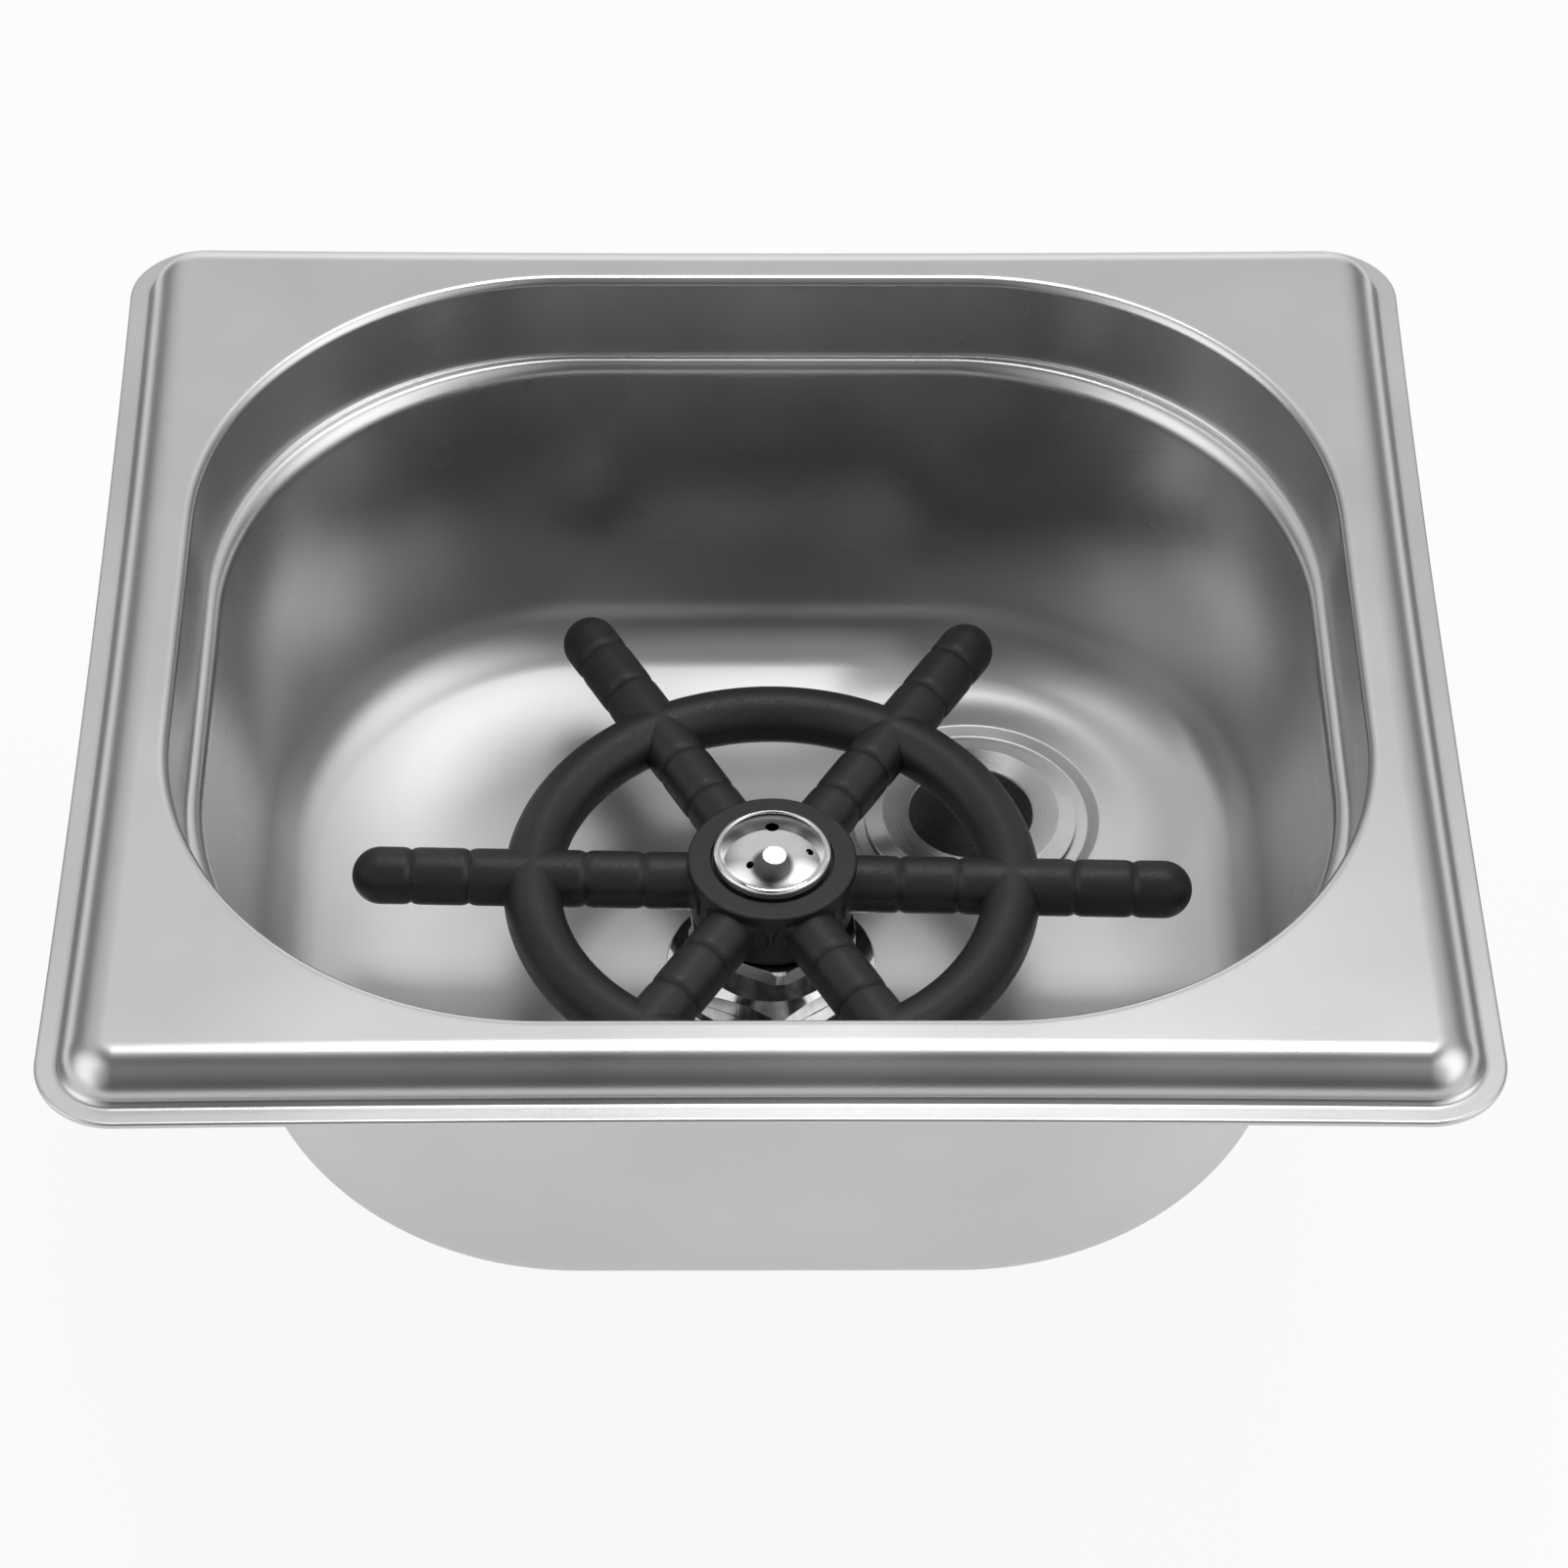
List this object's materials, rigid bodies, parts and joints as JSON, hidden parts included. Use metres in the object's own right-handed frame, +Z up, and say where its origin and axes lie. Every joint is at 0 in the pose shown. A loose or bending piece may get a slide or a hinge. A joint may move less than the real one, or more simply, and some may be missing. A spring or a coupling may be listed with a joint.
{
  "type": "glass rinser",
  "caption": "Countertop glass rinser: stainless drop-in pan with a black spoked press wheel over a sprung spray valve, and a drain with a hose tail.",
  "frame": {"origin": "centre of the plane on which the pan's lip rests, between the long and the short sides", "axes": "+Z up out of the counter, +X along the pan's long side to the right, +Y to the back, towards the drain's corner"},
  "size_m": [0.176, 0.162, 0.1198],
  "materials": {
    "stainless": "satin, softly brushed",
    "chrome": "polished plating",
    "turned_steel": "lathe turned",
    "brass": "machined, uncoated",
    "spring_steel": "drawn wire",
    "black_plastic": "moulded, fine matte",
    "rubber": "black, matte"
  },
  "bodies": {
    "sink": {"basin": "stainless", "valve_body": "chrome", "flange_washer": "chrome", "valve_gasket": "rubber", "valve_slip_washer": "turned_steel", "valve_lock_nut": "brass", "inlet_adapter": "brass", "adapter_o_ring": "rubber", "inlet_screen": "turned_steel", "return_spring": "spring_steel", "drain_flange": "turned_steel", "drain_top_gasket": "rubber", "drain_gasket": "rubber", "drain_slip_washer": "turned_steel", "drain_lock_nut": "brass", "drain_tail_washer": "rubber", "drain_hose_tail": "black_plastic", "drain_tail_nut": "brass"},
    "stem": {"valve_stem": "chrome", "spray_nozzle": "chrome", "nozzle_o_ring": "rubber", "stem_o_ring_upper": "rubber", "stem_o_ring_lower": "rubber", "valve_seal": "rubber", "seal_retainer": "brass"},
    "wheel": {"star_wheel": "black_plastic"}
  },
  "joints": [
    {"name": "press", "type": "slide", "parent": "sink", "child": "stem", "axis": [0, 0, -1], "range_m": [0, 0.005], "stiffness_N_per_m": 800, "springref_m": -0.006, "deforming": ["return_spring"]},
    {"name": "wheel_spin", "type": "hinge", "parent": "stem", "child": "wheel", "pos_m": [0.0008, -0.0014, -0.0414], "axis": [0, 0, 1], "continuous": true}
  ]
}
